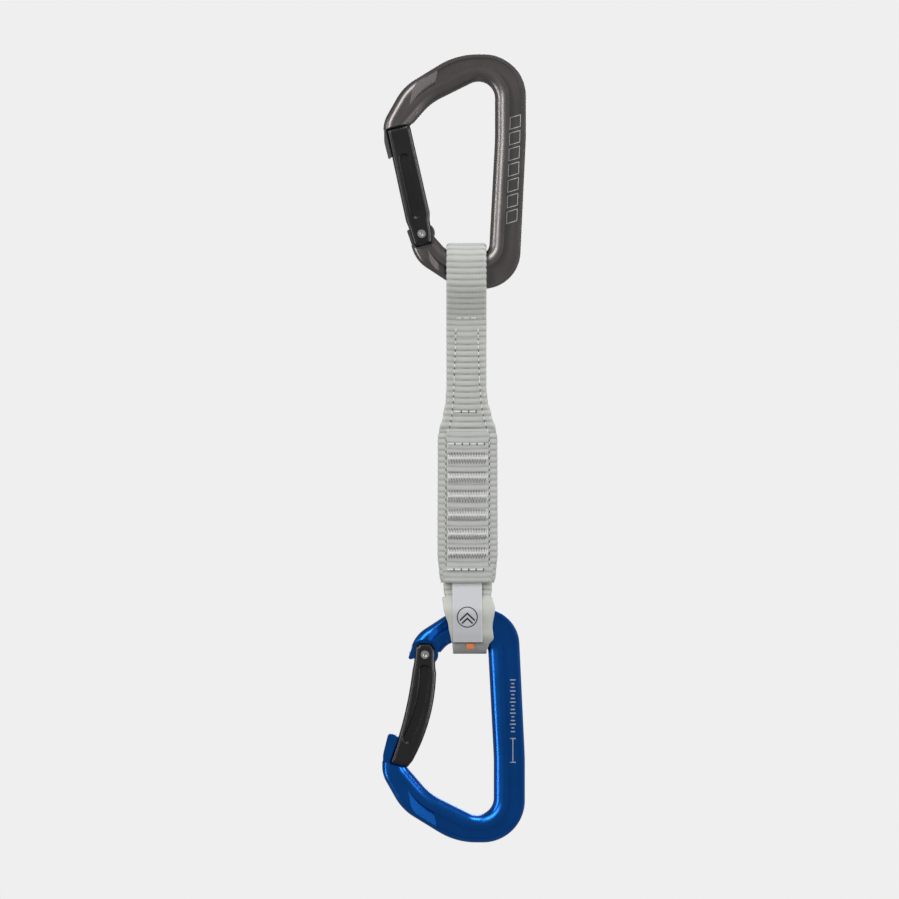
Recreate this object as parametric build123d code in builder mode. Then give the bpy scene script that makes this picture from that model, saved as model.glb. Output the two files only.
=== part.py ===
from build123d import *
from math import cos, radians, sin
import os

# A climbing quickdraw that hangs from its upper carabiner. Millimetres, +Z up, front face towards -Y.
# The spines of both carabiners are on the +X side and the gates on the -X side.
# The origin is the lowest point of the upper basket's inner face, where the bolt hanger carries it.
os.makedirs("parts", exist_ok=True)

# ---- carabiner frame, in its own (u, v) plane: v runs up from the narrow end to the wide basket ----
frame_half = 5.2           # half thickness of the round inner rail
flange_half = 4.0          # half thickness of the outer flange
web_half = 2.5             # half thickness at the bottom of the forged pocket
rail_width = 6.0           # width of the rail, from the inner edge
rim_width = 1.7            # width of the rim outside the pocket
rail_round = 4.6
outer_round = 3.4
ramp_run = 9.0             # length of the slope at each end of the pocket
nose_ramp = ((-29.0, -8.0), -10)     # where the pocket starts by the nose, and its heading
hinge_ramp = ((-21.0, -74.0), 10)    # the same by the hinge
spine_outer = 19.55
spine_inner = 6.5
spine_lean = 2.3           # how far the narrow end of the spine comes in
basket_rise = 11.6         # from the inner apex of the wide basket to the outside
narrow_outer = -87.0       # outside of the narrow end
narrow_inner = -72.7       # seat of the sling in the narrow end
seat_left = -12.0

# ---- gates ----
gate_half = 4.6            # half thickness of a gate
gate_width = 10.6
gate_round = 2.0           # rounding of the gate's long edges
gate_corner = 0.9          # rounding of its outline
gate_play = 0.35           # clearance between a gate and its frame
gate_lean = 12.2           # lean of the straight gate, from upright
cheek_radius = 6.1         # largest radius of the gate's cheeks about the rivet
shoulder_height = 1.0      # where the frame's full thickness stops, above the rivet
gap_width = 21.0           # the gap the gate fills, square to the gate
gap_height = 54.0
gap_shift = -1.5           # middle of the gap, across from the rivet
tongue_half = 2.2          # half thickness of the frame's hinge tongue
tongue_reach = 8.2         # how far the tongue runs from the rivet, inside the frame's outline
tongue_slope = -14.0       # lean of the tongue's upper edge
tongue_rise = 0.5          # height of that edge over the rivet
tongue_round = 0.8
fork_play = 0.3
tongue_radius = 4.2
cam_offset = 1.4           # lift of the plunger per radian of gate travel
rivet_radius = 1.5
rivet_play = 0.06
rivet_head_radius = 1.85
rivet_head_height = 0.45
dimple_radius = 0.8
dimple_depth = 0.5
nose_drop = 11.9           # length of the nose that the gate head covers
nose_inset = 0.3           # how far the nose stands in from the frame's outline
hook_half = 4.4            # half thickness of the nose outside the gate
hook_bury = 3.5            # how far the hook runs on into the frame
key_neck_half = 1.7
key_bulb_half = 2.7
key_bulb_height = 3.6
key_depth = 8.4            # how far the key reaches into the gate
key_play = 0.35
lip_depth = 1.2            # how far the frame's lip comes down over the gate's head
key_root = 1.0             # how far the key runs back into the hook
key_rise = 2.5             # how far the key runs past the gate's reach, into the frame
slot_rise = 2.0            # how far the gate's slots are cut past its head
slot_foot = 0.7            # how far the keyhole slot starts below the nose
channel_width = 3.2        # floor of the channels milled in the gate's faces
channel_depth = 0.9
channel_slope = 42.0       # lean of the channel's walls
bore_radius = 1.7
bore_play = 0.1
plunger_length = 5.0
spring_wire = 0.28
spring_turns = 8

top_rivet_at = (-24.3, -64.0)
top_reach = 46.2
bottom_rivet_at = (-22.4, -67.3)
bottom_reach = 47.9

# ---- where the lower carabiner hangs: it is the same frame turned over about X ----
bottom_basket = (-0.5, -307.9)
lower_bar_outer = bottom_basket[1] - narrow_outer

# ---- sling ----
tape = 2.8                 # thickness of one layer of the webbing
neck_width = 16.9
neck_x = -5.5              # centre line of the neck
grip_width = 25.4
grip_x = -5.0
grip_half = 3.2            # half thickness of the grip sleeve
soft_gap = 0.3             # clearance between soft bodies
tape_round = 1.1           # rounding of the webbing's long edges
eye_half = 5.8             # half gap of an eye, across the bar
upper_eye_top = -70.3      # inside of the upper eye
upper_throat = -97.0       # where the two strands of the upper eye meet
twist_z = -118.0           # where the neck twists
grip_joint_z = -139.5      # where the neck bends against the grip
lower_throat = -212.3      # where the two strands of the lower eye part
lower_eye_bottom = -236.7  # inside of the lower eye
splice_width = 17.1
splice_rise = 1.0
splice_top = -146.5
splice_bottom = -204.0
hem_width = 20.4
hem_top = -204.1
hem_bottom = -210.6
hem_rise = 2.2
tack_count = 6
tack_pitch = 7.95
tack_middle = -157.9       # middle of the highest tack
tack_height = 4.6
tack_width = 16.4
thread = 0.45              # how proud and how wide the stitching is
row_width = 10.5           # rows of stitching across the neck
hem_row_width = 17.5
neck_seam_shift = 4.65     # side seams of the neck, either side of their middle
grip_seam_shift = 9.1
keeper_wall = 1.1
keeper_top = -216.9
label_width = 12.4
label_wall = 0.4
label_bottom = -235.4
marker_width = 3.0
marker_height = 2.6


def export(part, name):
    part.part.label = name
    export_step(part.part, "parts/" + name + ".step")


def carabiner_plane(at, turned):
    """The front plane of a carabiner, with its u along +X and its v towards the wide basket."""
    return Plane(origin=(at[0], 0, at[1]), x_dir=(1, 0, 0), z_dir=(0, 1 if turned else -1, 0))


def outer_loop():
    low_spine = spine_outer - spine_lean - 0.4
    points = [(spine_outer, -24), (spine_outer, basket_rise), (-9.5, basket_rise), (-32, -2.2),
              (-40.4, -17), (-40.3, -25.5), (-31.3, -61.4), (-26.4, -75.4), (-8.7, narrow_outer),
              (low_spine - 0.3, narrow_outer)]
    FilletPolyline(*points, radius=[90, 17.6, 30, 22, 13, 9, 4.5, 14, 24, 15.8], close=True)


def inner_loop():
    points = [(spine_inner, -24), (spine_inner, 4.3), (-20.5, -9.1), (-30.6, -20.8), (-20.4, -63.0),
              (seat_left, narrow_inner), (spine_inner - spine_lean - 0.25, narrow_inner)]
    FilletPolyline(*points, radius=[90, 7, 24, 4, 4, 8, 4.6], close=True)


def straight_gate_lines(reach):
    """The straight gate from the front, drawn with its rivet at (0, 0) and its head up."""
    half = gate_width / 2
    side = (reach ** 2 - half ** 2) ** 0.5
    corner = (3.6, (reach ** 2 - 3.6 ** 2) ** 0.5)
    Line((-half, 6.4), (-half, side))
    ThreePointArc((-half, side), (-1.2, (reach ** 2 - 1.2 ** 2) ** 0.5), corner)
    Polyline(corner, (4.9, side - 1.0), (half, 8.0), (4.6, 5.0), (4.2, -0.9), (3.3, -4.9), (-3.3, -5.1),
             (-4.2, -3.3), (-4.7, 3.4), (-half, 6.4))


def bent_gate_lines(reach):
    """The bent gate from the front, drawn with its rivet at (0, 0) and the frame's own directions."""
    left_top = (-14.9, (reach ** 2 - 14.9 ** 2) ** 0.5)
    right_top = (-7.4, (reach ** 2 - 7.4 ** 2) ** 0.5)
    mid_top = (-11.2, (reach ** 2 - 11.2 ** 2) ** 0.5)
    ThreePointArc((-5.3, 7.0), (-8.0, 22.6), left_top)
    ThreePointArc(left_top, mid_top, right_top)
    Line(right_top, (-5.2, 44.6))
    ThreePointArc((-5.2, 44.6), (2.3, 25.6), (4.7, 8.0))
    Polyline((4.7, 8.0), (4.3, 5.0), (4.3, -2.4), (2.6, -4.8), (-2.4, -4.9), (-4.0, -3.3), (-4.6, 3.4),
             (-5.3, 7.0))


class Gate:
    """What differs between the two gates. lean is the angle of the drawing to the frame."""

    def __init__(self, at, turned, rivet, reach, bent):
        self.front = carabiner_plane(at, turned)
        self.rivet = rivet
        self.reach = reach
        self.bent = bent
        self.lean = 0 if bent else gate_lean
        self.head_lean = 15.0 if bent else gate_lean
        self.bore_lean = 3.6 if bent else gate_lean
        self.bore_top = 21.0 if bent else 27.0
        self.hook_round = 1.7 if bent else 0.6

    def sketch(self, grow=0.0):
        with BuildSketch() as face:
            with Locations(Location((self.rivet[0], self.rivet[1], 0), (0, 0, self.lean))):
                add(self.outline(grow))
        return face.sketch

    def outline(self, grow):
        with BuildSketch() as flat:
            with BuildLine():
                if self.bent:
                    bent_gate_lines(self.reach)
                else:
                    straight_gate_lines(self.reach)
            make_face()
            offset(amount=-gate_corner, kind=Kind.ARC)
            offset(amount=gate_corner + grow, kind=Kind.ARC)
        return flat.sketch

    def axis_plane(self, height):
        """A plane square to the spring bore, height above the rivet."""
        tilt = radians(self.bore_lean)
        along = self.front.x_dir * -sin(tilt) + self.front.y_dir * cos(tilt)
        start = self.front.from_local_coords(Vector(self.rivet[0], self.rivet[1], 0))
        return Plane(origin=start + along * height, x_dir=self.front.z_dir, z_dir=along)


def ramp_wedge(front, at, heading, floor):
    """Where the pocket may be cut: it starts at the surface at `at` and slopes down to the floor."""
    turn = radians(heading)
    along = front.x_dir * cos(turn) + front.y_dir * sin(turn)
    side = front.x_dir * -sin(turn) + front.y_dir * cos(turn)
    start = front.from_local_coords(Vector(at[0], at[1], 0))
    far = 160
    high = frame_half + 2
    rise = (frame_half - floor) / ramp_run
    with BuildPart() as wedge:
        with BuildSketch(Plane(origin=start, x_dir=along, z_dir=side)):
            with BuildLine():
                Polyline((-2 / rise, high), (ramp_run, floor), (far, floor), (far, high), (-2 / rise, high))
            make_face()
            mirror(about=Plane.XZ)
        extrude(amount=130, both=True)
    return wedge.part


def pocket(front, floor, inner_grow, outer_shrink, nose_ramp, hinge_ramp):
    with BuildPart() as cut:
        with BuildSketch(front):
            if outer_shrink:
                add(shrunk_outline(outer_shrink))
            else:
                with Locations((0, -38)):
                    Rectangle(140, 160)
            add(grown_window(inner_grow), mode=Mode.SUBTRACT)
        extrude(amount=frame_half + 1, both=True)
        add(ramp_wedge(front, *nose_ramp, floor), mode=Mode.INTERSECT)
        add(ramp_wedge(front, *hinge_ramp, floor), mode=Mode.INTERSECT)
    return cut.part


def grown_window(grow):
    with BuildSketch() as window:
        with BuildLine():
            inner_loop()
        make_face()
        if grow:
            offset(amount=grow, kind=Kind.ARC)
    return window.sketch


def shrunk_outline(inset):
    with BuildSketch() as outline:
        with BuildLine():
            outer_loop()
        make_face()
        offset(amount=-inset, kind=Kind.ARC)
    return outline.sketch


def nose_sector(gate, low, high):
    """The part of the frame's outline between two distances from the rivet, on the nose side."""
    with BuildSketch() as region:
        with Locations((gate.rivet[0], gate.rivet[1])):
            Circle(high)
            Circle(low, mode=Mode.SUBTRACT)
        with Locations((gate.rivet[0] - 15.5, gate.rivet[1] + 40)):
            Rectangle(25, 40, mode=Mode.INTERSECT)
        add(shrunk_outline(nose_inset), mode=Mode.INTERSECT)
    return region.sketch


def carabiner_frame(name, gate):
    front = gate.front
    hinge_u, hinge_v = gate.rivet
    with BuildPart() as frame:
        with BuildSketch(front):
            with BuildLine():
                outer_loop()
            make_face()
            add(grown_window(0), mode=Mode.SUBTRACT)
        extrude(amount=frame_half, both=True)
        faces = frame.faces().filter_by(Axis.Y).sort_by(Axis.Y)
        broad = [faces[0], faces[-1]]
        window_edges = [edge for face in broad for edge in face.inner_wires()[0].edges()]
        fillet(window_edges, radius=rail_round)
        faces = frame.faces().filter_by(Axis.Y).sort_by(Axis.Y)
        broad = [faces[0], faces[-1]]
        rim_edges = [edge for face in broad for edge in face.outer_wire().edges()]
        fillet(rim_edges, radius=outer_round)
        add(pocket(front, flange_half, rail_width, 0, nose_ramp, hinge_ramp), mode=Mode.SUBTRACT)
        add(pocket(front, web_half, rail_width, rim_width, nose_ramp, hinge_ramp), mode=Mode.SUBTRACT)
        # the gap that the gate fills, and the round recess for its cheeks
        with BuildSketch(front):
            with Locations((hinge_u, hinge_v)):
                Circle(gate.reach + gate_play)
            with Locations(Location((hinge_u, hinge_v, 0), (0, 0, gate_lean))):
                with Locations((gap_shift, shoulder_height + gap_height / 2)):
                    Rectangle(gap_width, gap_height, mode=Mode.INTERSECT)
            with Locations((hinge_u, hinge_v)):
                Circle(cheek_radius + gate_play)
        extrude(amount=frame_half + 2, both=True, mode=Mode.SUBTRACT)
        # hinge tongue between the gate's cheeks; its round end is a cam for the plunger
        tilt = radians(gate.bore_lean)
        cam_u = hinge_u + cam_offset * cos(tilt)
        cam_v = hinge_v + cam_offset * sin(tilt)
        with BuildSketch(front):
            add(tongue_root(gate))
            with Locations((cam_u, cam_v)):
                Circle(tongue_radius)
        extrude(amount=tongue_half, both=True)
        with BuildSketch(front):
            with Locations((hinge_u, hinge_v)):
                Circle(rivet_radius + rivet_play)
        extrude(amount=frame_half + 2, both=True, mode=Mode.SUBTRACT)
        add(nose_hook(gate))
    export(frame, name)
    return frame


def tongue_root(gate):
    """The part of the frame's outline round the rivet, below a sloping edge."""
    with BuildSketch() as root:
        with Locations((gate.rivet[0], gate.rivet[1])):
            Circle(tongue_reach)
        with Locations(Location((gate.rivet[0], gate.rivet[1], 0), (0, 0, tongue_slope))):
            with Locations((0, tongue_rise - 15)):
                Rectangle(30, 30, mode=Mode.INTERSECT)
        add(shrunk_outline(nose_inset), mode=Mode.INTERSECT)
        add(grown_window(nose_inset), mode=Mode.SUBTRACT)
        offset(amount=-tongue_round, kind=Kind.ARC)
        offset(amount=tongue_round, kind=Kind.ARC)
    return root.sketch


def nose_hook(gate):
    """A hook outside the gate's edge, and a key with a wider bulb that the gate head closes on."""
    low = gate.reach - nose_drop + nose_inset
    high = gate.reach + key_rise
    with BuildPart() as nose:
        for top, half in ((high, key_neck_half), (low + key_bulb_height, key_bulb_half)):
            with BuildSketch(gate.front):
                add(nose_sector(gate, low, top))
                add(key_reach(gate, key_depth), mode=Mode.INTERSECT)
                add(gate.sketch(key_root), mode=Mode.INTERSECT)
            extrude(amount=half, both=True)
        # a thin lip over the gate's head, out to the window's edge
        with BuildSketch(gate.front):
            add(nose_sector(gate, gate.reach - lip_depth, high))
            add(grown_window(nose_inset), mode=Mode.SUBTRACT)
            add(gate.sketch(hook_bury), mode=Mode.INTERSECT)
        extrude(amount=key_neck_half, both=True)
        with BuildSketch(gate.front) as hook:
            add(nose_sector(gate, low - nose_inset, gate.reach + hook_bury))
            add(gate.sketch(gate_play), mode=Mode.SUBTRACT)
            add(key_reach(gate, gate_width / 2), mode=Mode.INTERSECT)
            hinge = Vector(gate.rivet[0], gate.rivet[1], 0)
            tip = hook.vertices().sort_by(lambda corner: (corner.center() - hinge).length)[:2]
            fillet(tip, radius=gate.hook_round)
        extrude(amount=hook_half, both=True)
    return nose.part


def key_reach(gate, depth):
    """Everything left of a line that lies `depth` inside the gate's outer edge at its head."""
    shift = gate_width / 2 - depth
    with BuildSketch() as left:
        with Locations(Location((gate.rivet[0], gate.rivet[1], 0), (0, 0, gate.head_lean))):
            with Locations((-shift - 15, 40)):
                Rectangle(30, 40)
    return left.sketch


def gate_body(name, gate):
    front = gate.front
    hinge_u, hinge_v = gate.rivet
    low = gate.reach - nose_drop + nose_inset
    with BuildPart() as body:
        with BuildSketch(front):
            add(gate.sketch())
        extrude(amount=gate_half, both=True)
        faces = body.faces().filter_by(Axis.Y).sort_by(Axis.Y)
        long_edges = [edge for face in (faces[0], faces[-1]) for edge in face.outer_wire().edges()]
        fillet(long_edges, radius=gate_round)
        # milled channels along both faces
        for side in (1, -1):
            with BuildSketch(front.offset(side * (gate_half - channel_depth))):
                with Locations(Location((hinge_u, hinge_v, 0), (0, 0, gate.lean))):
                    if gate.bent:
                        with BuildLine(mode=Mode.PRIVATE):
                            groove = ThreePointArc((-0.1, 6.5), (-2.2, 22), (-7.2, 35.0))
                        SlotArc(groove, channel_width)
                    else:
                        with Locations((-0.5, 20.7)):
                            SlotOverall(26.4, channel_width, rotation=90)
            extrude(amount=side * (channel_depth + 0.1), taper=-channel_slope, mode=Mode.SUBTRACT)
        # fork round the frame's tongue
        with BuildSketch(front):
            with Locations((hinge_u, hinge_v)):
                Circle(cheek_radius + gate_play)
        extrude(amount=tongue_half + fork_play, both=True, mode=Mode.SUBTRACT)
        # step for the lip, and keyhole slot for the nose
        with BuildSketch(front):
            with Locations((hinge_u, hinge_v)):
                Circle(gate.reach + slot_rise)
                Circle(gate.reach - lip_depth - key_play, mode=Mode.SUBTRACT)
            add(gate.sketch(gate_play), mode=Mode.INTERSECT)
        extrude(amount=key_neck_half + key_play, both=True, mode=Mode.SUBTRACT)
        for bottom, top, half in (
            (low - slot_foot, gate.reach + slot_rise, key_neck_half + key_play),
            (low - slot_foot, low + key_bulb_height + key_play, key_bulb_half + key_play),
        ):
            with BuildSketch(front):
                with Locations((hinge_u, hinge_v)):
                    Circle(top)
                    Circle(bottom, mode=Mode.SUBTRACT)
                add(key_reach(gate, key_depth + key_play), mode=Mode.INTERSECT)
            extrude(amount=half, both=True, mode=Mode.SUBTRACT)
        with BuildSketch(gate.axis_plane(cheek_radius - 1)):
            Circle(bore_radius)
        extrude(amount=gate.bore_top - cheek_radius + 1, mode=Mode.SUBTRACT)
        with BuildSketch(front):
            with Locations((hinge_u, hinge_v)):
                Circle(rivet_radius)
        extrude(amount=gate_half + 1, both=True, mode=Mode.SUBTRACT)
    export(body, name)
    return body


def gate_rivet(name, gate):
    """A steel rivet with a dimpled head on each cheek."""
    with BuildPart() as rivet:
        with BuildSketch(gate.front):
            with Locations((gate.rivet[0], gate.rivet[1])):
                Circle(rivet_radius)
        extrude(amount=gate_half, both=True)
        for side in (1, -1):
            with BuildSketch(gate.front.offset(side * gate_half)):
                with Locations((gate.rivet[0], gate.rivet[1])):
                    Circle(rivet_head_radius)
            extrude(amount=side * rivet_head_height, taper=20)
            with BuildSketch(gate.front.offset(side * (gate_half + rivet_head_height))):
                with Locations((gate.rivet[0], gate.rivet[1])):
                    Circle(dimple_radius)
            extrude(amount=-side * dimple_depth, taper=25, mode=Mode.SUBTRACT)
    export(rivet, name)


def plunger_start():
    return tongue_radius + bore_play


def gate_plunger(name, gate):
    """The flat-ended pin that rides on the tongue's cam."""
    start = plunger_start()
    with BuildPart() as plunger:
        with BuildSketch(gate.axis_plane(start)):
            Circle(bore_radius - bore_play)
        extrude(amount=plunger_length)
    export(plunger, name)


def gate_spring(name, gate):
    start = plunger_start() + plunger_length + bore_play
    height = gate.bore_top - start - 2.5 * spring_wire
    radius = bore_radius - spring_wire - bore_play
    base = gate.axis_plane(start + spring_wire)
    with BuildPart() as spring:
        with BuildLine():
            coil = Helix(pitch=height / spring_turns, height=height, radius=radius, center=base.origin,
                         direction=base.z_dir)
        with BuildSketch(Plane(origin=coil @ 0, z_dir=coil % 0)):
            Circle(spring_wire)
        sweep(is_frenet=True)
    export(spring, name)


# ---- sling: sketches in the Y-Z plane are the side view; `front_outline` trims them from the front ----
def eye_gap(throat, tip, bar_outer):
    """The teardrop gap inside an eye: it starts at the throat and closes round the bar at the tip."""
    down = 1 if tip < throat else -1
    centre = tip + down * eye_half
    shoulder = bar_outer + down * 0.6
    Polyline((-eye_half, centre), (-eye_half + 0.8, shoulder), (0, throat), (eye_half - 0.8, shoulder),
             (eye_half, centre))
    ThreePointArc((eye_half, centre), (0, tip), (-eye_half, centre))


def eye_shell(throat, tip, bar_outer, inside, outside):
    """The teardrop band between two distances from the eye's gap."""
    with BuildSketch() as gap:
        with BuildLine():
            eye_gap(throat, tip, bar_outer)
        make_face()
        if inside:
            offset(amount=inside, kind=Kind.ARC)
    with BuildSketch() as shell:
        with BuildLine():
            eye_gap(throat, tip, bar_outer)
        make_face()
        offset(amount=outside, kind=Kind.ARC)
        add(gap.sketch, mode=Mode.SUBTRACT)
    return shell.sketch


def front_outline(points):
    """A prism through Y over a front outline given as (x, z) points down one side and up the other."""
    with BuildPart() as prism:
        with BuildSketch(Plane.XZ):
            with BuildLine():
                Polyline(*points, close=True)
            make_face()
        extrude(amount=40, both=True)
    return prism.part


def upper_eye():
    with BuildPart() as eye:
        with BuildSketch(Plane.YZ.offset(neck_x)):
            add(eye_shell(upper_throat, upper_eye_top, narrow_outer, 0, tape))
        extrude(amount=neck_width / 2, both=True)
    export(eye, "upper_eye_webbing")


def strap_side(top, bottom, half, socket_above, round_below):
    """Side profile of a double strap between two joints."""
    with BuildSketch() as side:
        with BuildLine():
            start = top - 1.4 if socket_above else top
            nip = tape * 0.78 if socket_above else half
            Polyline((-half, start - 4.5), (-nip, start), (nip, start), (half, start - 4.5), (half, bottom),
                     (-half, bottom), close=True)
        make_face()
        if round_below:
            with Locations((0, bottom)):
                Circle(half)
        if socket_above:
            with Locations((0, top)):
                Circle(tape + soft_gap, mode=Mode.SUBTRACT)
    return side.sketch


def neck_upper():
    with BuildPart() as strap:
        with BuildSketch(Plane.YZ.offset(neck_x)):
            add(strap_side(upper_throat, twist_z + soft_gap / 2, tape, True, False))
        extrude(amount=neck_width / 2, both=True)
        fillet(strap.edges().filter_by(Axis.Z), radius=tape_round)
    export(strap, "neck_upper_webbing")


def neck_lower():
    high = twist_z - soft_gap / 2
    half = neck_width / 2
    end = grip_joint_z
    with BuildPart() as strap:
        with BuildSketch(Plane.YZ.offset(neck_x)):
            add(strap_side(high, end, tape, False, True))
        extrude(amount=half + 2, both=True)
        add(front_outline([(neck_x - half, high + 1), (neck_x - half, -133), (grip_x - 10.1, end - 4),
                           (grip_x + 9.9, end - 4), (neck_x + half, -133), (neck_x + half, high + 1)]),
            mode=Mode.INTERSECT)
    export(strap, "neck_lower_webbing")


def grip_side():
    """Side profile of the grip sleeve, with a socket above and a socket for the lower eye below."""
    low = lower_throat + 1.4
    nip = tape * 0.78
    top = grip_joint_z - 1.4
    with BuildSketch() as side:
        with BuildLine():
            Polyline((-nip, top), (nip, top), (grip_half, top - 5), (grip_half, low + 4.5), (nip, low),
                     (-nip, low), (-grip_half, low + 4.5), (-grip_half, top - 5), close=True)
        make_face()
        with Locations((0, grip_joint_z), (0, lower_throat)):
            Circle(tape + soft_gap, mode=Mode.SUBTRACT)
    return side.sketch


def grip_outline():
    half = grip_width / 2
    return [(grip_x - half + 2.5, grip_joint_z + 2), (grip_x - half + 2.0, -142.0), (grip_x - half, -149.0),
            (grip_x - half, -203.0), (grip_x - half + 1.6, lower_throat - 1),
            (grip_x + half - 1.6, lower_throat - 1), (grip_x + half, -203.0), (grip_x + half, -149.0),
            (grip_x + half - 2.0, -142.0), (grip_x + half - 2.5, grip_joint_z + 2)]


def grip_sleeve():
    with BuildPart() as sleeve:
        with BuildSketch(Plane.YZ.offset(grip_x)):
            add(grip_side())
        extrude(amount=grip_width, both=True)
        add(front_outline(grip_outline()), mode=Mode.INTERSECT)
    export(sleeve, "grip_sleeve")


def front_pad(name, x, width, high, low, inner, outer):
    """A flat layer on the front face between two depths."""
    with BuildPart() as pad:
        with BuildSketch(Plane.XZ.offset(inner)):
            with Locations((x, (high + low) / 2)):
                RectangleRounded(width, high - low, 0.6)
        extrude(amount=outer - inner)
    export(pad, name)


def lower_eye():
    with BuildPart() as eye:
        with BuildSketch(Plane.YZ.offset(grip_x)):
            add(eye_shell(lower_throat, lower_eye_bottom, lower_bar_outer, 0, tape))
        extrude(amount=grip_width, both=True)
        add(front_outline(lower_eye_outline()), mode=Mode.INTERSECT)
    export(eye, "lower_eye_webbing")


def lower_eye_outline():
    return [(-15.0, -205), (-14.8, -213), (-12.4, -228.5), (-10.6, -245),
            (1.6, -245), (2.2, -236), (4.4, -229.5), (5.0, -213),
            (5.2, -205)]


def band_piece(name, inside, outside, points, front_only):
    """A thin layer that follows the outside of the lower eye, trimmed from the front."""
    with BuildPart() as band:
        with BuildSketch(Plane.YZ.offset(grip_x)):
            add(eye_shell(lower_throat, lower_eye_bottom, lower_bar_outer, inside, outside))
            if front_only:
                with Locations((-20.5, lower_eye_bottom)):
                    Rectangle(40, 80, mode=Mode.INTERSECT)
        extrude(amount=grip_width, both=True)
        add(front_outline(points), mode=Mode.INTERSECT)
    export(band, name)


def box_points(x, width, high, low):
    return [(x - width / 2, high), (x - width / 2, low), (x + width / 2, low), (x + width / 2, high)]


def stitch_lines(name, lines, front_face, back_face):
    """Stitching on both faces: each line is (x, high z, low z, width)."""
    with BuildPart() as stitching:
        for face, way in ((front_face, 1), (-back_face, -1)):
            with BuildSketch(Plane.XZ.offset(face)):
                for x, high, low, width in lines:
                    with Locations((x, (high + low) / 2)):
                        Rectangle(width, high - low)
            extrude(amount=way * thread)
    export(stitching, name)


top_gate_size = Gate((0, 0), False, top_rivet_at, top_reach, False)
bottom_gate_size = Gate(bottom_basket, True, bottom_rivet_at, bottom_reach, True)
for side_name, size in (("top", top_gate_size), ("bottom", bottom_gate_size)):
    carabiner_frame(side_name + "_frame", size)
    gate_body(side_name + "_gate", size)
    gate_rivet(side_name + "_rivet", size)
    gate_plunger(side_name + "_plunger", size)
    gate_spring(side_name + "_spring", size)

upper_eye()
neck_upper()
neck_lower()
grip_sleeve()
lower_eye()
splice_front = grip_half + splice_rise
front_pad("splice_tape", grip_x, splice_width, splice_top, splice_bottom, grip_half, splice_front)
front_pad("grip_hem", grip_x, hem_width, hem_top, hem_bottom, grip_half, grip_half + hem_rise)
keeper_inside = tape + 0.05
keeper_outside = keeper_inside + keeper_wall
label_outside = keeper_outside + label_wall + 0.02
keeper_points = [(-15.9, keeper_top), (-12.7, -228.5), (-11.2, -245), (2.2, -245), (2.8, -236), (4.9, -229.5),
                 (5.2, keeper_top)]
band_piece("keeper", keeper_inside, keeper_outside, keeper_points, False)
band_piece("label", keeper_outside + 0.02, label_outside,
           box_points(grip_x - 0.1, label_width, keeper_top - 0.2, label_bottom), True)
band_piece("wear_marker", keeper_outside + 0.02, keeper_outside + 0.3,
           box_points(-3.9, marker_width, label_bottom - 0.2, label_bottom - 0.2 - marker_height), True)

seam_x = (neck_x + 0.25 - neck_seam_shift, neck_x + 0.25 + neck_seam_shift)
upper_rows = [(neck_x, -103.1, -103.6, row_width), (neck_x, -104.7, -105.2, row_width)]
stitch_lines("upper_cross_stitch", upper_rows, tape, tape)
stitch_lines("neck_upper_seams", [(x, -106.0, twist_z + 1, thread) for x in seam_x], tape, tape)
stitch_lines("neck_lower_seams", [(x, twist_z - 1, -136.4, thread) for x in seam_x], tape, tape)
stitch_lines("neck_cross_stitch", [(neck_x, -137.2, -137.8, row_width)], tape, tape)
grip_seam_x = (grip_x - grip_seam_shift, grip_x + grip_seam_shift)
stitch_lines("grip_seams", [(x, -147, -203, thread) for x in grip_seam_x], grip_half, grip_half)
tacks = []
for tack in range(tack_count):
    middle = tack_middle - tack * tack_pitch
    tacks.append((grip_x, middle + tack_height / 2, middle - tack_height / 2, tack_width))
stitch_lines("bar_tacks", tacks, splice_front, grip_half)
stitch_lines("splice_cross_stitch", [(grip_x, -151.7, -152.3, tack_width)], splice_front, grip_half)
stitch_lines("hem_stitch", [(grip_x, -205.4, -206.0, hem_row_width)], grip_half + hem_rise, grip_half)
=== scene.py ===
import math
import random

import bpy
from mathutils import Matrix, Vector


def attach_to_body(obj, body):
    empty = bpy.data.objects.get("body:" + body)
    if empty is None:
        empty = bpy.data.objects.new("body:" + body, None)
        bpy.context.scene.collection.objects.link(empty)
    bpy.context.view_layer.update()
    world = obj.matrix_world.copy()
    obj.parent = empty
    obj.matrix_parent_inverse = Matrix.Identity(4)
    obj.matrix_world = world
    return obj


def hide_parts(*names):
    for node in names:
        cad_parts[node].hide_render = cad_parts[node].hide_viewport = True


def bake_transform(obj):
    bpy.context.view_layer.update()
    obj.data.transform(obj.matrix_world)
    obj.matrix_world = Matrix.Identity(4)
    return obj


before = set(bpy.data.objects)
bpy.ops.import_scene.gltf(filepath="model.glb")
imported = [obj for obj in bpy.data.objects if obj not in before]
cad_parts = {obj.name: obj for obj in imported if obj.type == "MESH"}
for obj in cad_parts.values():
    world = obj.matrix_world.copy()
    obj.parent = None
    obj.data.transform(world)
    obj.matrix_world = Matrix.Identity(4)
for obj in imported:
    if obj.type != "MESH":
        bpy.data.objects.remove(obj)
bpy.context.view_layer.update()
mm = 0.001
random.seed(7)
print("frame loaded:", len(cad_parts), "nodes")


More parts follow.
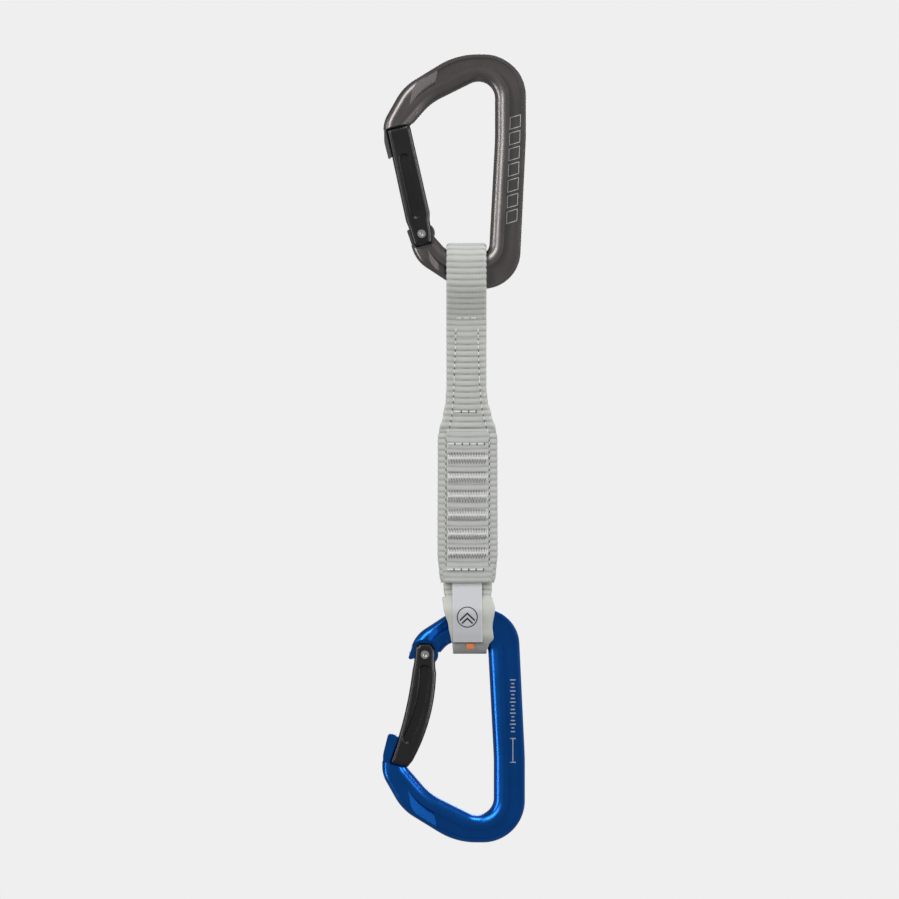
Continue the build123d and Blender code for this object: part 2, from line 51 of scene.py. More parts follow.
# shader maths
class Wire:    # a socket that can be used in sums
    def __init__(self, tree, socket):
        self.tree = tree
        self.socket = socket

    def maths(self, operation, *others):
        values = {0: self}
        for index, other in enumerate(others):
            values[index + 1] = other
        return self.tree.node("ShaderNodeMath", {"operation": operation}, values)

    def __add__(self, other):
        return self.maths("ADD", other)

    def __radd__(self, other):
        return self.maths("ADD", other)

    def __sub__(self, other):
        return self.maths("SUBTRACT", other)

    def __rsub__(self, other):
        return self.tree.node("ShaderNodeMath", {"operation": "SUBTRACT"}, {0: other, 1: self})

    def __mul__(self, other):
        return self.maths("MULTIPLY", other)

    def __rmul__(self, other):
        return self.maths("MULTIPLY", other)

    def __gt__(self, other):
        return self.maths("GREATER_THAN", other)

    def __lt__(self, other):
        return self.maths("LESS_THAN", other)


class Finish:    # one material with its node tree
    def __init__(self, name):
        self.material = bpy.data.materials.new(name)
        self.material.use_nodes = True
        self.nodes = self.material.node_tree.nodes
        self.links = self.material.node_tree.links
        self.shader = self.nodes["Principled BSDF"]
        self.place = self.node("ShaderNodeTexCoord", {}, {}, "Object")

    def node(self, kind, settings, values, output=0):
        made = self.nodes.new(kind)
        for key, setting in settings.items():
            if key == "stops":
                while len(made.color_ramp.elements) < len(setting):
                    made.color_ramp.elements.new(0.5)
                for element, (position, colour) in zip(made.color_ramp.elements, setting):
                    element.position = position
                    element.color = colour
            else:
                setattr(made, key, setting)
        for key, value in values.items():
            self.feed(made.inputs[key], value)
        return Wire(self, made.outputs[output])

    def feed(self, socket, value):
        if isinstance(value, Wire):
            self.links.new(value.socket, socket)
        else:
            socket.default_value = value

    def set(self, **values):
        for key, value in values.items():
            self.feed(self.shader.inputs[key.replace("_", " ")], value)

    def axes(self):
        split = self.node("ShaderNodeSeparateXYZ", {}, {0: self.place})
        outputs = split.socket.node.outputs
        return Wire(self, outputs[0]), Wire(self, outputs[1]), Wire(self, outputs[2])

    def noise(self, scale, detail=3.0, stretch=(1, 1, 1)):
        moved = self.node("ShaderNodeMapping", {}, {"Vector": self.place, "Scale": stretch})
        return self.node("ShaderNodeTexNoise", {}, {"Vector": moved, "Scale": scale, "Detail": detail})

    def mix(self, factor, low, high):
        return self.node("ShaderNodeMix", {"data_type": "RGBA"}, {"Factor": factor, "A": low, "B": high}, 2)

    def bump(self, height, strength, distance):
        return self.node("ShaderNodeBump", {}, {"Height": height, "Strength": strength, "Distance": distance})


def rectangle(u, v, u0, u1, v0, v1):
    return (u > u0) * (u < u1) * (v > v0) * (v < v1)


# metal finishes
def anodised(name, deep, bright, roughness, marks=None, metallic=1.0):
    finish = Finish(name)
    cloud = finish.noise(90, 4.0)
    grain = finish.noise(6500, 2.0)
    colour = finish.mix(cloud, deep, bright)
    rough = roughness + (cloud - 0.5) * 0.12
    if marks:
        mask = marks(finish)
        colour = finish.mix(mask, colour, (0.80, 0.80, 0.80, 1))
        rough = rough + mask * 0.25
    finish.set(Base_Color=colour, Metallic=metallic, Roughness=rough,
               Normal=finish.bump(grain, 0.06, 0.00003))
    finish.shader.inputs["Coat Weight"].default_value = 0.25
    finish.shader.inputs["Coat Roughness"].default_value = 0.22
    return finish.material


def pocketFloor(y):
    return (y < -2.4 * mm) * (y > -2.7 * mm)


def spineBars(finish):
    # outlined bars etched on the floor of the pocket
    x, y, z = finish.axes()
    bar = {"x": 13.3 * mm, "width": 4.6 * mm, "pitch": 6.6 * mm, "tall": 5.2 * mm, "line": 0.3 * mm,
           "top": 14.4 * mm, "count": 7, "lean": 0.035, "slant": 0.3, "start": 0.7 * mm}
    u = x - z * bar["lean"] - bar["x"]
    drift = (z * -1.0) + (u * bar["slant"]) - bar["top"]
    v = drift.maths("MODULO", bar["pitch"])
    low, high = bar["start"], bar["start"] + bar["tall"]
    outer = rectangle(u, v, 0.0, bar["width"], low, high)
    inner = rectangle(u, v, bar["line"], bar["width"] - bar["line"], low + bar["line"], high - bar["line"])
    return (outer - inner) * (drift > 0.0) * (drift < bar["pitch"] * bar["count"]) * pocketFloor(y)


def ratingMarks(finish):
    # a plain scale of ticks and a bracket on the lower spine
    x, y, z = finish.axes()
    scale = {"x": 14.0 * mm, "top": 250.0 * mm, "ticks": 15, "pitch": 1.55, "halves": (1.2, 0.6, 0.9)}
    u = x - scale["x"]
    v = z * -1.0 - scale["top"]
    blocks = [(-0.2, 0.2, 26, 35.6), (-1.2, 1.2, 35.6, 36.0), (-1.2, 1.2, 25.6, 26.0)]
    for step in range(scale["ticks"]):
        wide = scale["halves"][step % 3]
        blocks.append((-wide, wide, 1.0 + step * scale["pitch"], 1.45 + step * scale["pitch"]))
    total = None
    for u0, u1, v0, v1 in blocks:
        one = rectangle(u, v, u0 * mm, u1 * mm, v0 * mm, v1 * mm)
        total = one if total is None else total.maths("MAXIMUM", one)
    return total * pocketFloor(y)


greyMetal = anodised("anodised_grey", (0.21, 0.195, 0.19, 1), (0.27, 0.25, 0.243, 1), 0.33, spineBars)
blueMetal = anodised("anodised_blue", (0.002, 0.13, 0.56, 1), (0.008, 0.17, 0.70, 1), 0.29, ratingMarks)
blackMetal = anodised("black_gate", (0.010, 0.010, 0.011, 1), (0.017, 0.017, 0.018, 1), 0.26, metallic=0.0)


def steel(name, roughness):
    finish = Finish(name)
    scratch = finish.noise(2600, 3.0, (1, 6, 1))
    finish.set(Base_Color=finish.mix(scratch, (0.82, 0.81, 0.79, 1), (0.97, 0.96, 0.94, 1)), Metallic=1.0,
               Roughness=roughness + scratch * 0.15, Normal=finish.bump(scratch, 0.15, 0.00004))
    return finish.material


rivetSteel = steel("rivet_steel", 0.18)
springSteel = steel("spring_steel", 0.3)
nodeFinish = {"top_frame": greyMetal, "bottom_frame": blueMetal,
              "top_gate": blackMetal, "bottom_gate": blackMetal,
              "top_rivet": rivetSteel, "bottom_rivet": rivetSteel, "top_plunger": rivetSteel,
              "bottom_plunger": rivetSteel, "top_spring": springSteel, "bottom_spring": springSteel}
for node, material in nodeFinish.items():
    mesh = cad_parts[node].data
    mesh.materials.clear()
    mesh.materials.append(material)
print("metal finishes set")


# cloth finishes
def cloth(name, low, high, threadPitch, roughness=0.82, depth=0.00010, shadeGrooves=False):
    finish = Finish(name)
    x, y, z = finish.axes()
    warp = (x * (2 * math.pi / threadPitch)).maths("SINE")
    weft = (z * (2 * math.pi / (threadPitch * 0.8)) + warp * 0.9).maths("SINE")
    fuzz = finish.noise(3800, 4.0)
    stain = finish.noise(160, 3.0)
    height = warp * 0.35 + weft * 0.25 + fuzz * 0.8
    colour = finish.mix(stain * 0.6 + fuzz * 0.4, low, high)
    # painted shade: the cloth colour is darkened towards half its low tone in the grooves between the ribs
    if shadeGrooves:
        groove = finish.node("ShaderNodeAttribute", {"attribute_name": "groove"}, {}, "Fac")
        colour = finish.mix(groove, colour, [0.52 * part for part in low[:3]] + [1])
    finish.set(Base_Color=colour, Roughness=roughness, Normal=finish.bump(height, 0.55, depth))
    finish.shader.inputs["Sheen Weight"].default_value = 0.25
    finish.shader.inputs["Sheen Roughness"].default_value = 0.5
    finish.shader.inputs["Specular IOR Level"].default_value = 0.25
    return finish.material


webbingCloth = cloth("webbing", (0.53, 0.545, 0.51, 1), (0.68, 0.69, 0.655, 1), 0.62 * mm, shadeGrooves=True)
tapeCloth = cloth("splice_tape", (0.55, 0.56, 0.53, 1), (0.70, 0.71, 0.68, 1), 0.55 * mm, shadeGrooves=True)
threadCloth = cloth("thread", (0.84, 0.85, 0.83, 1), (0.96, 0.96, 0.95, 1), 0.2 * mm, 0.6, 0.00003)


def plain(name, low, high, roughness, scale, depth):
    finish = Finish(name)
    blotch = finish.noise(scale, 4.0)
    finish.set(Base_Color=finish.mix(blotch, low, high), Roughness=roughness + (blotch - 0.5) * 0.1,
               Normal=finish.bump(finish.noise(scale * 6, 3.0), 0.3, depth))
    return finish.material


keeperRubber = plain("keeper_rubber", (0.53, 0.545, 0.50, 1), (0.64, 0.65, 0.60, 1), 0.55, 350, 0.00006)
markerOrange = plain("marker_orange", (0.80, 0.20, 0.05, 1), (0.90, 0.30, 0.10, 1), 0.6, 900, 0.00008)
# near-black material for painted shade: the needle holes beside the stitches and the label slit
holeShadeMaterial = plain("needle_hole_shade", (0.05, 0.05, 0.048, 1), (0.09, 0.09, 0.085, 1), 0.9, 900, 0.00003)


def ribbon():
    finish = Finish("label_ribbon")
    x, y, z = finish.axes()
    warp = (x * (2 * math.pi / (0.35 * mm))).maths("SINE")
    # two chevrons inside a ring
    badge = {"x": 5.15 * mm, "z": 224.7 * mm, "peaks": (223.6 * mm, 225.7 * mm), "slope": 0.95,
             "stroke": 0.95 * mm, "half": 3.7 * mm, "trim": 3.5 * mm, "ringIn": 3.95 * mm,
             "ringOut": 4.4 * mm, "highlightEdge": 5.75 * mm}
    u = (x + badge["x"]).maths("ABSOLUTE")
    mark = None
    for top in badge["peaks"]:
        peak = z + top + u * badge["slope"]
        chevron = (peak > 0.0) * (peak < badge["stroke"]) * (u < badge["half"])
        mark = chevron if mark is None else mark.maths("MAXIMUM", chevron)
    # painted highlight: the strips along both edges of the ribbon are painted lighter
    edge = (u > badge["highlightEdge"]) * 0.35
    w = z + badge["z"]
    away = (u * u + w * w).maths("SQRT")
    mark = mark * (away < badge["trim"])
    mark = mark.maths("MAXIMUM", (away > badge["ringIn"]) * (away < badge["ringOut"]))
    base = finish.mix(edge, (0.60, 0.61, 0.635, 1), (0.78, 0.78, 0.78, 1))
    finish.set(Base_Color=finish.mix(mark, base, (0.012, 0.012, 0.014, 1)), Roughness=0.52,
               Normal=finish.bump(warp, 0.25, 0.00004))
    finish.shader.inputs["Sheen Weight"].default_value = 0.2
    return finish.material


labelRibbon = ribbon()
print("cloth finishes set")


# straps: a grid is rolled into a closed tape that follows a path in the Y-Z plane
def measured(points):    # the points with their running length
    lengths = [0.0]
    for a, b in zip(points, points[1:]):
        lengths.append(lengths[-1] + math.dist(a, b))
    return points, lengths


def along(path, distance):
    points, lengths = path
    distance = min(max(distance, 0.0), lengths[-1])
    index = 1
    while index < len(lengths) - 1 and lengths[index] < distance:
        index += 1
    a, b = points[index - 1], points[index]
    span = lengths[index] - lengths[index - 1]
    share = (distance - lengths[index - 1]) / span
    return a[0] + (b[0] - a[0]) * share, a[1] + (b[1] - a[1]) * share


# corners (y, z, radius) joined by runs and arcs, as a fine list of points
def smoothPath(corners, rounding=40):
    points = [corners[0][:2]]
    for before, corner, after in zip(corners, corners[1:], corners[2:]):
        radius = corner[2]
        here = Vector(corner[:2])
        back = (Vector(before[:2]) - here).normalized()
        ahead = (Vector(after[:2]) - here).normalized()
        half = back.angle(ahead) / 2
        reach = radius / math.tan(half)
        centre = here + (back + ahead).normalized() * (radius / math.sin(half))
        start = here + back * reach
        finish = here + ahead * reach
        first = start - centre
        last = finish - centre
        turn = first.angle(last)
        for step in range(rounding + 1):
            share = step / rounding
            arm = first * math.sin((1 - share) * turn) / math.sin(turn)
            arm += last * math.sin(share * turn) / math.sin(turn)
            points.append(tuple(centre + arm))
    points.append(corners[-1][:2])
    return measured(points)


def ribHeight(distance, pitch):
    return math.sqrt(abs(math.sin(math.pi * distance / pitch)))


# a woven tape with real ribs across it; lengths in the dictionary are millimetres
def strap(spec):
    path = spec["path"]
    total = path[1][-1]
    pitch = spec.get("ribPitch", 2.5)
    ribs = spec.get("rib", 0.3)
    rows = max(4, round(total / spec.get("step", 0.36)))
    flat = 14
    bend = 6
    columns = 2 * flat + 2 * bend
    bpy.ops.object.select_all(action="DESELECT")
    bpy.ops.mesh.primitive_grid_add(x_subdivisions=columns, y_subdivisions=rows, size=1)
    piece = bpy.context.object
    piece.name = spec["name"]
    halfWidth = spec["halfWidth"]
    centre = spec["centre"]
    thick = spec["halfThick"]
    phase = spec.get("phase", 0.0)
    bow = spec.get("bow", 0.25)
    wave = spec.get("wave", 0.0)
    # a per-point value for painted shade, read by the cloth colour to darken the rib grooves
    grooveShadeValues = piece.data.attributes.new("groove", "FLOAT", "POINT").data
    for vertex in piece.data.vertices:
        column = round((vertex.co.x + 0.5) * columns) % columns
        distance = (vertex.co.y + 0.5) * total
        y, z = along(path, distance)
        ya, za = along(path, distance - 0.3)
        yb, zb = along(path, distance + 0.3)
        run = Vector((yb - ya, zb - za)).normalized()
        outward = Vector((-run.y, run.x))
        width = halfWidth(distance, z)
        if column < flat:
            across, deep = -1 + 2 * column / flat, 1.0
            edge = 0.0
        elif column < flat + bend:
            angle = math.pi * (column - flat) / bend
            across, deep, edge = 1.0, math.cos(angle), math.sin(angle)
        elif column < 2 * flat + bend:
            across, deep = 1 - 2 * (column - flat - bend) / flat, -1.0
            edge = 0.0
        else:
            angle = math.pi * (column - 2 * flat - bend) / bend
            across, deep, edge = -1.0, -math.cos(angle), -math.sin(angle)
        height = ribHeight(distance + phase + bow * across * across, pitch) if ribs else 1.0
        swell = thick(distance, z) - ribs + ribs * height
        # painted shade, strongest at the bottom of each groove between the ribs
        grooveShadeValues[vertex.index].value = 0.9 * (1 - height) ** 1.3
        flatHalf = width - thick(distance, z)
        x = centre(distance, z) + across * flatHalf + edge * (swell if ribs else thick(distance, z))
        lift = wave * math.sin(distance * 0.9 + across * 2.2) * 0.5
        lift += wave * math.sin(distance * 0.37 - across * 1.3)
        place = Vector((y, z)) + outward * (deep * swell + lift)
        vertex.co = (x * mm, place.x * mm, place.y * mm)
    bpy.ops.object.mode_set(mode="EDIT")
    bpy.ops.mesh.select_all(action="SELECT")
    bpy.ops.mesh.remove_doubles(threshold=0.00001)
    bpy.ops.mesh.fill_holes(sides=0)
    bpy.ops.mesh.normals_make_consistent(inside=False)
    bpy.ops.object.mode_set(mode="OBJECT")
    bpy.ops.object.shade_smooth_by_angle(angle=math.radians(50))
    piece.data.materials.append(spec["material"])
    piece.location = (0, 0, 0)
    return piece


def fixed(value):
    return lambda distance, z: value


# a value that follows height: stops are (z, value) from high to low
def byHeight(*stops):
    def value(distance, z):
        if z >= stops[0][0]:
            return stops[0][1]
        for (z0, v0), (z1, v1) in zip(stops, stops[1:]):
            if z >= z1:
                share = (z - z0) / (z1 - z0)
                share = share * share * (3 - 2 * share)
                return v0 + (v1 - v0) * share
        return stops[-1][1]
    return value


tape = 1.4            # half thickness of one layer of the sling
strandY = 1.42        # middle of each strand, where two lie together
neckHalf = 8.45       # half width of the neck
neckX = -5.5
gripX = -5.0
upperCorners = [(strandY, -108.0), (strandY, -99.0, 14), (7.0, -86.0, 14), (7.2, -69.1, 7.0),
                (-7.2, -69.1, 7.0), (-7.0, -86.0, 14), (-strandY, -99.0, 14), (-strandY, -108.0)]
upperEye = {"name": "sling_upper_eye", "material": webbingCloth, "halfWidth": fixed(neckHalf),
            "centre": fixed(neckX), "halfThick": fixed(tape), "path": smoothPath(upperCorners)}
piece = strap(upperEye)
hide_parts("upper_eye_webbing")
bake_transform(piece)

neckWidth = byHeight((-128, neckHalf), (-134, 8.9), (-140, 10.2), (-146, 11.9))
neckCentre = byHeight((-128, neckX), (-146, gripX))
for side, sign in (("front", -1), ("back", 1)):
    high = {"name": "sling_neck_high_" + side, "material": webbingCloth, "halfWidth": fixed(neckHalf),
            "centre": fixed(neckX), "halfThick": fixed(tape),
            "path": measured([(strandY * sign, -108.0), (strandY * sign, -128.0)])}
    piece = strap(high)
    if side == "front":
        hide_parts("neck_upper_webbing")
    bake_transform(piece)
    low = {"name": "sling_neck_low_" + side, "material": webbingCloth, "halfWidth": neckWidth,
           "centre": neckCentre, "halfThick": byHeight((-137, tape), (-146, 1.6)),
           "path": measured([(strandY * sign, -128.0), (strandY * sign, -138.0), (1.6 * sign, -145.5)])}
    piece = strap(low)
    if side == "front":
        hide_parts("neck_lower_webbing")
    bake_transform(piece)
print("neck made")

gripWidth = byHeight((-145.5, 11.9), (-150, 12.6), (-198, 12.7), (-207, 12.0), (-210, 11.4))
grip = {"name": "grip_sleeve_web", "material": webbingCloth, "halfWidth": gripWidth, "centre": fixed(gripX),
        "halfThick": byHeight((-145.5, 2.9), (-149, 3.2), (-206, 3.2), (-210, 2.9)), "bow": 0.7,
        "path": measured([(0, -145.5), (0, -210.5)])}
piece = strap(grip)
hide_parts("grip_sleeve")
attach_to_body(piece, "grip")

tackSpec = {"count": 6, "first": -158.1, "pitch": 7.95, "halfHeight": 1.45, "halfWidth": 8.3, "zigs": 30,
            "thread": 0.19, "rowOffset": 2.05, "rowPitch": 1.15, "rowTick": 0.3, "clothHalf": 0.75,
            "dip": 0.16, "dipReach": 2.6, "layerShift": 0.23, "slant": 0.12}


# the splice is pressed down under each bar tack
def tackDip(distance, z):
    depth = tackSpec["clothHalf"]
    for index in range(tackSpec["count"]):
        away = abs(z - (tackSpec["first"] - index * tackSpec["pitch"]))
        if away < tackSpec["dipReach"]:
            depth -= tackSpec["dip"] * (0.5 + 0.5 * math.cos(math.pi * away / tackSpec["dipReach"]))
    return depth


splice = {"name": "splice_web", "material": tapeCloth, "halfWidth": fixed(8.85), "centre": fixed(gripX),
          "halfThick": tackDip, "rib": 0.12, "ribPitch": 2.5, "bow": 0.3,
          "path": measured([(-3.5, -146.8), (-3.5, -204.2)])}
piece = strap(splice)
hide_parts("splice_tape")
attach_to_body(piece, "grip")

hem = {"name": "folded_hem", "material": webbingCloth, "halfWidth": byHeight((-203, 10.9), (-210, 10.0)),
       "centre": fixed(gripX), "halfThick": fixed(0.5), "rib": 0.14, "ribPitch": 2.3, "bow": 0.1,
       "wave": 0.05,
       "path": smoothPath([(-4.6, -203.6), (-4.85, -210.1, 0.6), (-3.55, -210.0, 0.6), (-3.6, -206.0)], 12)}
piece = strap(hem)
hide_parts("grip_hem")
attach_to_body(piece, "grip")

lowerWidth = byHeight((-207, 10.4), (-213, 10.2), (-217, 9.7), (-228, 8.3), (-236, 6.4))
lowerCentre = byHeight((-207, gripX), (-217, -4.9), (-228, -4.1), (-236, -4.3))
lowerCorners = [(strandY, -208.0), (strandY, -212.5, 12), (7.1, -222.0, 9), (7.2, -237.9, 7.0),
                (-7.2, -237.9, 7.0), (-7.1, -222.0, 9), (-strandY, -212.5, 12), (-strandY, -208.0)]
lower = {"name": "sling_lower_eye", "material": webbingCloth, "halfWidth": lowerWidth, "centre": lowerCentre,
         "halfThick": fixed(tape), "path": smoothPath(lowerCorners)}
piece = strap(lower)
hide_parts("lower_eye_webbing")
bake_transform(piece)
print("grip and lower eye made")

keeperOffset = 2.05
keeper = {"name": "rubber_keeper", "material": keeperRubber, "rib": 0.0, "step": 0.6, "wave": 0.06,
          "halfWidth": byHeight((-217, 10.5), (-221, 10.8), (-229, 9.2), (-233.5, 9.0), (-236.5, 7.6),
                                (-239, 7.1)),
          "centre": byHeight((-217, -5.1), (-221, -4.3), (-229, -3.8), (-233.5, -3.1), (-236.5, -3.8),
                             (-239, -4.1)),
          "halfThick": fixed(0.5),
          "path": smoothPath([(5.9, -216.9), (7.1 + keeperOffset, -222.3, 7),
                              (7.2 + keeperOffset, -237.9 - keeperOffset + 0.1, 8.8),
                              (-7.2 - keeperOffset, -237.9 - keeperOffset + 0.1, 8.8),
                              (-7.1 - keeperOffset, -222.3, 7), (-5.9, -216.9)])}
piece = strap(keeper)
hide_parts("keeper")
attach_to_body(piece, "bottom_carabiner")

labelOut = keeperOffset + 0.68
label = {"name": "ribbon_label", "material": labelRibbon, "rib": 0.0, "step": 0.6, "halfWidth": fixed(6.2),
         "centre": byHeight((-210, -5.2), (-235, -4.9)), "halfThick": fixed(0.14),
         "path": smoothPath([(-3.2, -207.5), (-3.9, -210.8, 6), (-7.2 - labelOut, -222.0, 6),
                             (-7.2 - labelOut, -231.5, 9), (-6.9 - labelOut, -235.2)])}
piece = strap(label)
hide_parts("label")
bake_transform(piece)


# small rounded blocks
def block(name, centre, size, material, bevel=0.3):
    bpy.ops.object.select_all(action="DESELECT")
    bpy.ops.mesh.primitive_cube_add(size=1)
    piece = bpy.context.object
    piece.name = name
    for vertex in piece.data.vertices:
        vertex.co = [(centre[i] + vertex.co[i] * size[i]) * mm for i in range(3)]
    bpy.ops.object.mode_set(mode="EDIT")
    bpy.ops.mesh.select_all(action="SELECT")
    bpy.ops.mesh.bevel(offset=bevel * mm, segments=3, affect="EDGES")
    bpy.ops.object.mode_set(mode="OBJECT")
    bpy.ops.object.shade_smooth_by_angle(angle=math.radians(40))
    piece.data.materials.append(material)
    return piece


piece = block("orange_marker", (-3.9, -9.0, -236.9), (3.0, 1.2, 2.5), markerOrange, 0.25)
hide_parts("wear_marker")
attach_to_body(piece, "bottom_carabiner")
# a thin near-black block of painted shade where the label's end tucks into its slit
piece = block("label_slit_shade", (-4.9, -9.55, -235.5), (12.6, 0.5, 0.32), holeShadeMaterial, 0.1)
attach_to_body(piece, "bottom_carabiner")
print("keeper, label and marker made")


# stitching: every thread is a thin round line
def threads(name, lines, radius, material):
    curve = bpy.data.curves.new(name, "CURVE")
    curve.dimensions = "3D"
    curve.bevel_depth = radius * mm
    curve.bevel_resolution = 1
    curve.use_fill_caps = True
    for line in lines:
        spline = curve.splines.new("POLY")
        spline.points.add(len(line) - 1)
        for point, place in zip(spline.points, line):
            point.co = (place[0] * mm, place[1] * mm, place[2] * mm, 1)
    made = bpy.data.objects.new(name, curve)
    bpy.context.collection.objects.link(made)
    bpy.ops.object.select_all(action="DESELECT")
    made.select_set(True)
    bpy.context.view_layer.objects.active = made
    bpy.ops.object.convert(target="MESH")
    made = bpy.context.object
    made.name = name
    made.data.materials.append(material)
    bpy.ops.object.shade_smooth()
    return made


# one stitch that dives into the cloth at both ends; face is -1 for the front
def stitch(a, b, face, sink=0.25):
    out = 0.16 * face
    points = []
    for share, depth in ((0.0, -sink), (0.12, 0.4), (0.3, 1.0), (0.7, 1.0), (0.88, 0.4), (1.0, -sink)):
        x = a[0] + (b[0] - a[0]) * share
        z = a[2] + (b[2] - a[2]) * share
        y = a[1] + (b[1] - a[1]) * share + out * depth
        points.append((x, y, z))
    return points


# stitches and the needle marks between them, along a seam given as (x, z) places; the needle marks are dark
# lines of painted shade in the needle holes
def seamLines(places, surface, face, spec):
    path = measured(places)
    stitches, holeShades = [], []
    distance = 0.0
    while distance + spec["length"] < path[1][-1]:
        a = along(path, distance)
        b = along(path, distance + spec["length"])
        c = along(path, distance + spec["length"] + spec["gap"])
        stitches.append(stitch((a[0], surface * face, a[1]), (b[0], surface * face, b[1]), face))
        # dark dashes between the stitches: painted shade in the needle holes
        deep = surface * face + 0.05 * face
        if spec["tick"]:
            x = (b[0] + c[0]) / 2
            z = (b[1] + c[1]) / 2
            holeShades.append([(x, deep, z - spec["tick"]), (x, deep, z + spec["tick"])])
        else:
            holeShades.append([(b[0], deep, b[1]), (c[0], deep, c[1])])
        distance += spec["length"] + spec["gap"]
    return stitches, holeShades


# ride on one body; given more than one entry, the piece is only baked in place and rides on no body
def attach(piece, carried):
    if len(carried) == 1:
        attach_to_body(piece, carried[0])
    else:
        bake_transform(piece)


seamSpec = {"length": 1.5, "gap": 1.0, "tick": 0.0, "radius": 0.16, "holeShadeRadius": 0.17}
rowSpec = {"length": 2.25, "gap": 0.85, "tick": 0.55, "radius": 0.3, "holeShadeRadius": 0.17}


def sewn(name, seams, surface, carried, spec, node=None):
    stitches, holeShades = [], []
    for places in seams:
        for face, depth in ((-1, surface[0]), (1, surface[1])):
            one, two = seamLines(places, depth, face, spec)
            stitches += one
            holeShades += two
    thread = threads(name, stitches, spec["radius"], threadCloth)
    if node:
        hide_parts(node)
    attach(thread, carried)
    attach(threads(name + "_holes", holeShades, spec["holeShadeRadius"], holeShadeMaterial), carried)


neckFace = (2.78, 2.78)
gripFace = (3.2, 3.2)
spliceFace = 4.24
upperZone = ("top_carabiner", "neck_upper", -94.5, -103.5)
twistZone = ("neck_upper", "neck_lower", -111, -125)
gripZone = ("neck_lower", "grip", -135.5, -143.5)
sewn("upper_row", [[(-9.8, -99.3), (-0.4, -99.3)]], neckFace, upperZone, rowSpec, "upper_cross_stitch")
sewn("upper_seams", [[(-9.9, -103.8), (-10.1, -110.5)], [(-0.6, -103.8), (-0.5, -110.5)]], neckFace,
     ("neck_upper",), seamSpec, "neck_upper_seams")
sewn("twist_seams", [[(-10.1, -111.0), (-10.6, -125.0)], [(-0.5, -111.0), (-0.1, -125.0)]], neckFace,
     twistZone, seamSpec)
sewn("middle_seams", [[(-10.6, -125.2), (-11.1, -135.4)], [(-0.1, -125.2), (0.7, -135.4)]], neckFace,
     ("neck_lower",), seamSpec, "neck_lower_seams")
sewn("splayed_seams", [[(-11.2, -135.7), (-11.7, -141.0), (-12.6, -145.6)],
                       [(0.8, -135.7), (1.8, -141.2), (3.0, -145.6)]], (3.05, 3.05), gripZone, seamSpec)
sewn("neck_row", [[(-10.3, -138.6), (0.9, -138.6)]], (2.98, 2.98), gripZone, rowSpec, "neck_cross_stitch")
sewn("grip_side_seams", [[(-13.1, -146.2), (-14.1, -151.0), (-14.1, -203.0)],
                         [(3.2, -146.2), (4.1, -151.0), (4.1, -203.0)]], gripFace, ("grip",), seamSpec,
     "grip_seams")
sewn("splice_row", [[(-13.0, -152.2), (3.4, -152.2)]], (spliceFace, gripFace[0]), ("grip",), rowSpec,
     "splice_cross_stitch")
sewn("hem_row", [[(-13.4, -204.9), (3.8, -204.9)]], (5.25, gripFace[0]), ("grip",), rowSpec, "hem_stitch")


def barTacks():
    lines, ticks = [], []
    for face, surface in ((-1, spliceFace + 0.12), (1, gripFace[0] + 0.06)):
        for index in range(tackSpec["count"]):
            middle = tackSpec["first"] - index * tackSpec["pitch"]
            for layer, shift in ((0, 0.0), (1, tackSpec["layerShift"])):
                line = []
                for zig in range(tackSpec["zigs"] + 1):
                    share = zig / tackSpec["zigs"]
                    x = gripX + (share * 2 - 1) * tackSpec["halfWidth"] + shift
                    way = 1 if (zig + layer) % 2 else -1
                    z = middle + way * (tackSpec["halfHeight"] + random.uniform(-0.18, 0.12))
                    y = face * (surface + random.uniform(-0.03, 0.05) + 0.05 * layer)
                    line.append((x, y - face * tackSpec["slant"], z))
                    if zig < tackSpec["zigs"]:
                        step = tackSpec["halfWidth"] / tackSpec["zigs"]
                        line.append((x + step, y + face * tackSpec["slant"], middle))
                lines.append(line)
            # rows of short dark ticks beside each tack: painted shade in the needle holes
            for row in (-1, 1):
                z = middle + row * tackSpec["rowOffset"]
                for tick in range(int(2 * tackSpec["halfWidth"] / tackSpec["rowPitch"])):
                    x = gripX - tackSpec["halfWidth"] + 0.5 + tick * tackSpec["rowPitch"]
                    y = face * (surface + 0.1)
                    ticks.append([(x, y, z - tackSpec["rowTick"]), (x, y, z + tackSpec["rowTick"])])
    attach(threads("tack_needle_hole_shade", ticks, 0.13, holeShadeMaterial), ("grip",))
    tack = threads("zigzag_tacks", lines, tackSpec["thread"], threadCloth)
    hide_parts("bar_tacks")
    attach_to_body(tack, "grip")


barTacks()
print("stitching made")


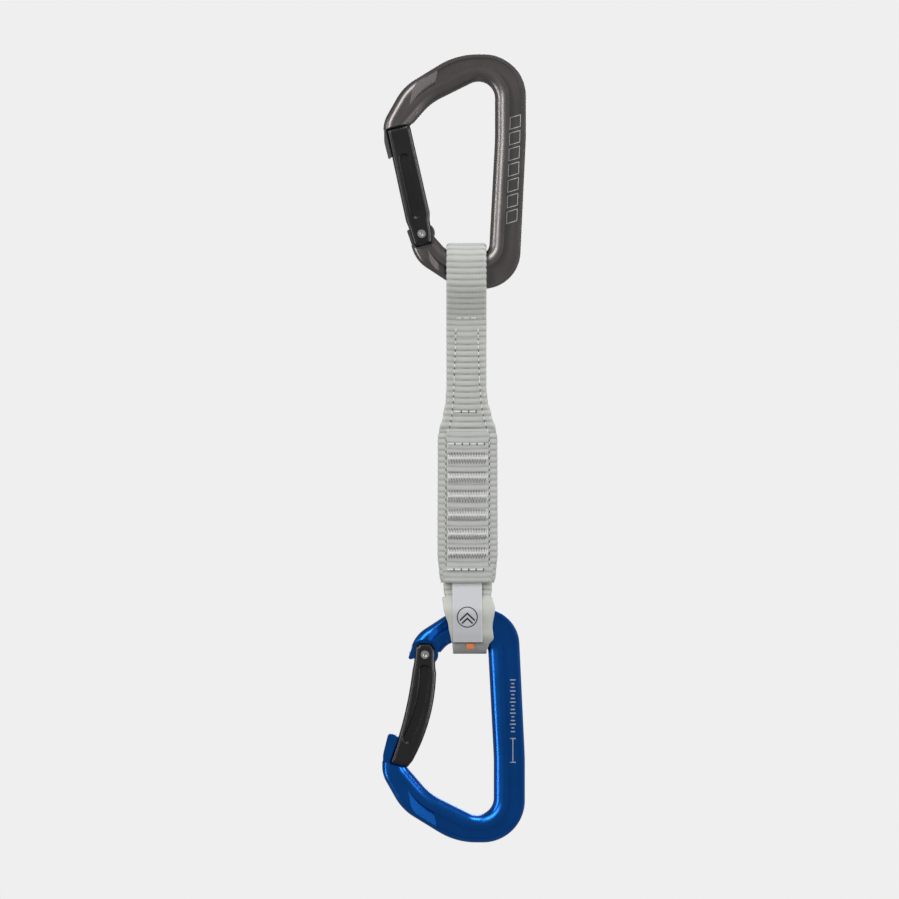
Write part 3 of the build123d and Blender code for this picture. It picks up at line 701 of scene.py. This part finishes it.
# light and camera
def softbox(name, place, target, size, energy):
    lamp = bpy.data.lights.new(name, "AREA")
    lamp.shape = "RECTANGLE"
    lamp.size = size[0]
    lamp.size_y = size[1]
    lamp.energy = energy
    holder = bpy.data.objects.new(name, lamp)
    bpy.context.collection.objects.link(holder)
    holder.location = place
    holder.rotation_euler = (Vector(target) - Vector(place)).to_track_quat("-Z", "Y").to_euler()


def lighting():
    middle = (-0.01, 0, -0.155)
    softbox("key", (-0.55, -0.75, 0.35), middle, (0.35, 0.9), 4.6)
    softbox("fill", (0.7, -0.7, -0.1), middle, (0.16, 0.8), 1.7)
    softbox("top", (0.05, -0.25, 0.7), middle, (0.5, 0.3), 3.0)
    softbox("rim right", (0.85, -0.12, -0.12), middle, (0.12, 0.9), 3.2)
    softbox("rim left", (-0.85, -0.2, -0.2), middle, (0.12, 0.9), 2.2)
    softbox("rear", (0.1, 0.8, 0.2), middle, (0.5, 0.7), 3.0)
    world = bpy.data.worlds.new("pale_room")
    world.use_nodes = True
    bpy.context.scene.world = world
    tree = world.node_tree
    background = tree.nodes["Background"]
    background.inputs["Color"].default_value = (0.863, 0.863, 0.863, 1)
    dim = tree.nodes.new("ShaderNodeBackground")
    dim.inputs["Color"].default_value = (0.20, 0.20, 0.202, 1)
    blend = tree.nodes.new("ShaderNodeMixShader")
    path = tree.nodes.new("ShaderNodeLightPath")
    tree.links.new(path.outputs["Is Camera Ray"], blend.inputs[0])
    tree.links.new(dim.outputs[0], blend.inputs[1])
    tree.links.new(background.outputs[0], blend.inputs[2])
    tree.links.new(blend.outputs[0], tree.nodes["World Output"].inputs[0])
    bpy.context.scene.view_settings.view_transform = "Standard"


def camera():
    lens = {"distance": 3.0, "width": 0.3777, "x": -0.0126, "z": -0.1545, "sensor": 36}
    data = bpy.data.cameras.new("front_camera")
    data.sensor_width = lens["sensor"]
    data.lens = lens["sensor"] * lens["distance"] / lens["width"]
    data.clip_end = 20
    holder = bpy.data.objects.new("front_camera", data)
    bpy.context.collection.objects.link(holder)
    holder.location = (lens["x"], -lens["distance"], lens["z"])
    holder.rotation_euler = (math.radians(90), 0, 0)
    bpy.context.scene.camera = holder


lighting()
camera()
print("lights and camera set")
